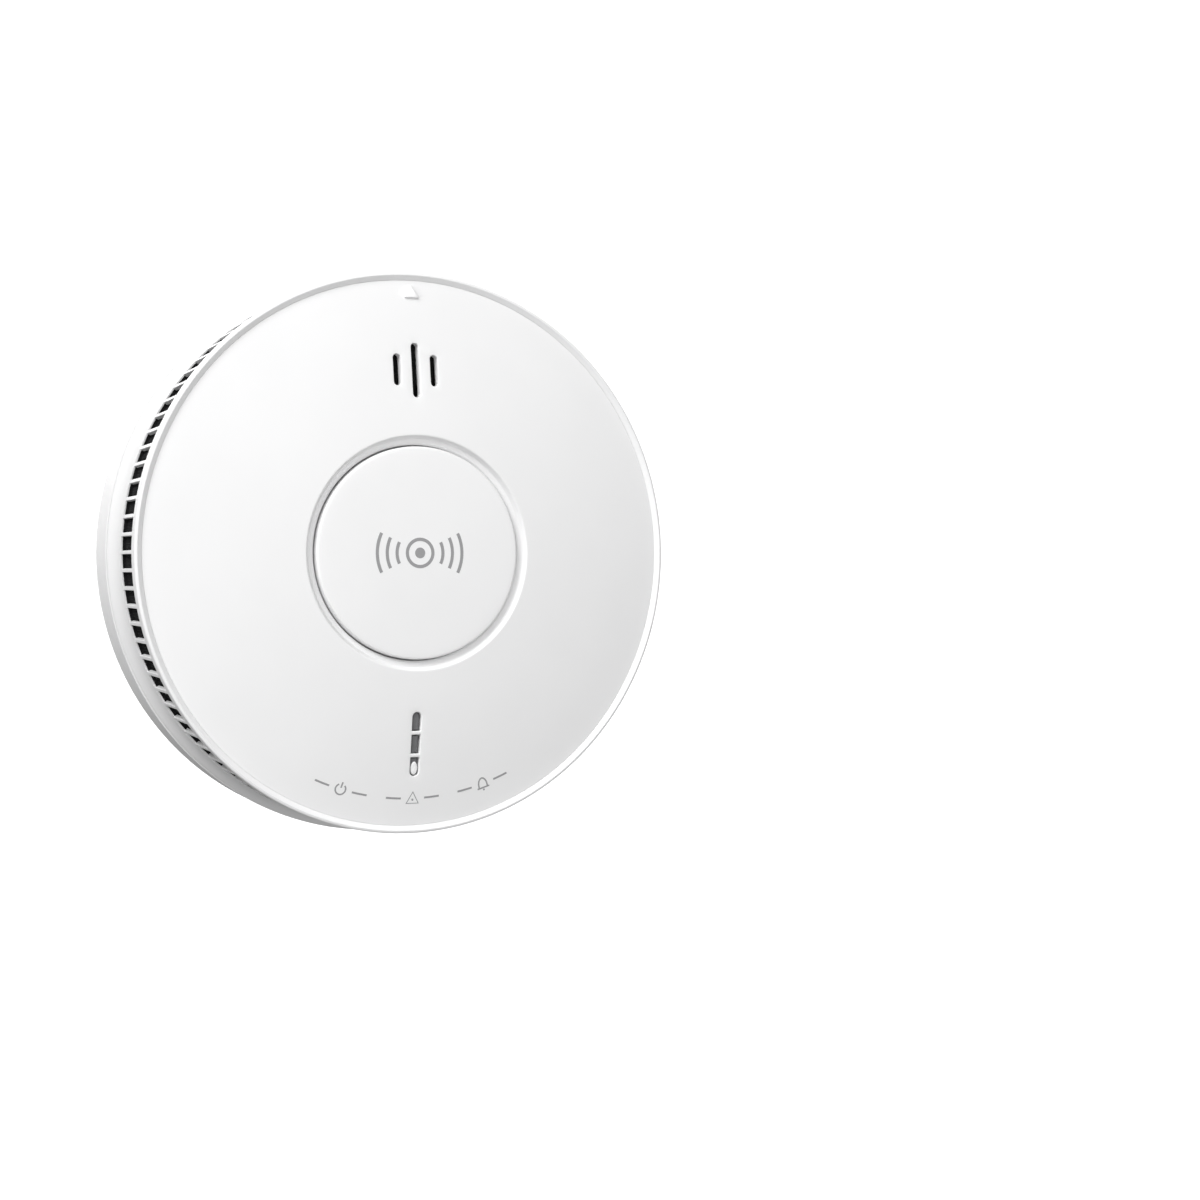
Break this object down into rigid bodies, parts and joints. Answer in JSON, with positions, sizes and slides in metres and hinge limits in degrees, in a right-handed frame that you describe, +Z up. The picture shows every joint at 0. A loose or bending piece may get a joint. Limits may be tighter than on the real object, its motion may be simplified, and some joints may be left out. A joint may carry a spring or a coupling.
{
  "type": "smoke detector",
  "caption": "Round wall or ceiling smoke detector: domed face with a large centre test button, vents round its rim, on a twist-on mounting bracket.",
  "frame": {"origin": "centre of the mounting bracket's back face, on the wall plane", "axes": "-Y out of the wall along the detector's axis towards the domed face, +X to the right seen from the front, +Z up"},
  "size_m": [0.1226, 0.037, 0.1226],
  "materials": {
    "white_housing": "fine satin",
    "white_bracket": "fine satin",
    "white_button": "fine satin",
    "black_mesh": "woven",
    "black_plastic": "matt",
    "grey_plastic": "matt",
    "smoked_guide": "polished",
    "white_lens": "polished",
    "label": "satin film",
    "board": "solder mask",
    "lamp_green": "clear",
    "lamp_yellow": "clear",
    "lamp_red": "clear",
    "clear_blue": "clear",
    "spring_steel": "bright",
    "screw_steel": "zinc plated",
    "brass": "rolled",
    "ceramic_grey": "silvered",
    "nickel": "rolled",
    "gold_contact": "plated",
    "battery_sleeve": "shrink film",
    "capacitor_can": "sleeved",
    "coil_copper": "enamelled wire",
    "ivory_plastic": "satin"
  },
  "bodies": {
    "bracket": {"mounting_bracket": "white_bracket"},
    "alarm": {"rear_housing": "white_housing", "rating_label": "label", "vent_ring": "white_housing", "insect_screen": "black_mesh", "front_cover": "white_housing", "button_springs": "spring_steel", "light_guide": "smoked_guide", "light_shroud": "black_plastic", "indicator_lens": "white_lens", "status_lamp_green": "lamp_green", "status_lamp_yellow": "lamp_yellow", "status_lamp_red": "lamp_red", "circuit_board": "board", "chamber_base": "black_plastic", "chamber_cover": "black_plastic", "infrared_emitter": "clear_blue", "photodiode": "black_plastic", "horn_housing": "grey_plastic", "horn_gauze": "black_mesh", "piezo_disc": "brass", "piezo_ceramic": "ceramic_grey", "horn_contacts": "spring_steel", "battery_cell": "battery_sleeve", "battery_tabs": "nickel", "microcontroller": "black_plastic", "capacitors": "capacitor_can", "horn_coil": "coil_copper", "test_switch_body": "black_plastic", "module_socket": "black_plastic", "socket_contacts": "gold_contact", "power_switch_body": "grey_plastic", "housing_screws": "screw_steel"},
    "button": {"test_button": "white_button"},
    "switch_plunger": {"test_switch_plunger": "ivory_plastic"},
    "power_slider": {"power_switch_slider": "ivory_plastic"}
  },
  "joints": [
    {"name": "alarm_twist", "type": "hinge", "parent": "bracket", "child": "alarm", "pos_m": [0, 0, 0], "axis": [0, -1, 0], "range_deg": [0, 15]},
    {"name": "test_button_press", "type": "slide", "parent": "alarm", "child": "button", "axis": [0, 1, 0], "range_m": [0, 0.001], "stiffness_N_per_m": 2500, "springref_m": -0.001, "deforming": ["button_springs"]},
    {"name": "test_switch_press", "type": "slide", "parent": "alarm", "child": "switch_plunger", "axis": [0, 1, 0], "range_m": [0, 0.001]},
    {"name": "power_switch_slide", "type": "slide", "parent": "alarm", "child": "power_slider", "axis": [1, 0, 0], "range_m": [0, 0.002]}
  ],
  "couplings": [
    {"joint": "test_switch_press", "follows": "test_button_press", "ratio": 1}
  ]
}
